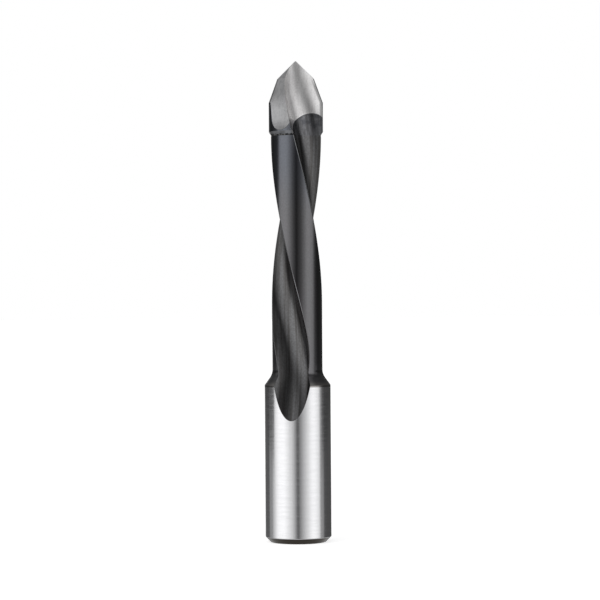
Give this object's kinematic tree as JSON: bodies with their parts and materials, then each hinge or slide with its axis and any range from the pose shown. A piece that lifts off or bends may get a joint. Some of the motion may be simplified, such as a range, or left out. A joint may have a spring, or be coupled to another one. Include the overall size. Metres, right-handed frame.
{
  "type": "dowel drill bit",
  "caption": "Left-hand dowel drill bit: fluted body, brazed carbide double-angle point and a plain round shank with a clamping flat, for through holes in a boring machine.",
  "frame": {"origin": "middle of the shank's end face, which the bit stands on", "axes": "+Z along the drill's axis from the shank to the point; -Y is the side that the picture shows; +Y is the outward side of the clamping flat"},
  "size_m": [0.01, 0.01, 0.0728],
  "materials": {
    "coated_steel": "ground bright on the shank, satin black coat on the neck, lands and flutes",
    "silver_solder": "dull",
    "ground_carbide": "fine ground on the point, relief and gash, satin black coat on the side and in the flutes"
  },
  "bodies": {
    "root": {"steel_body": "coated_steel", "braze_joint": "silver_solder", "carbide_head": "ground_carbide"}
  },
  "joints": []
}
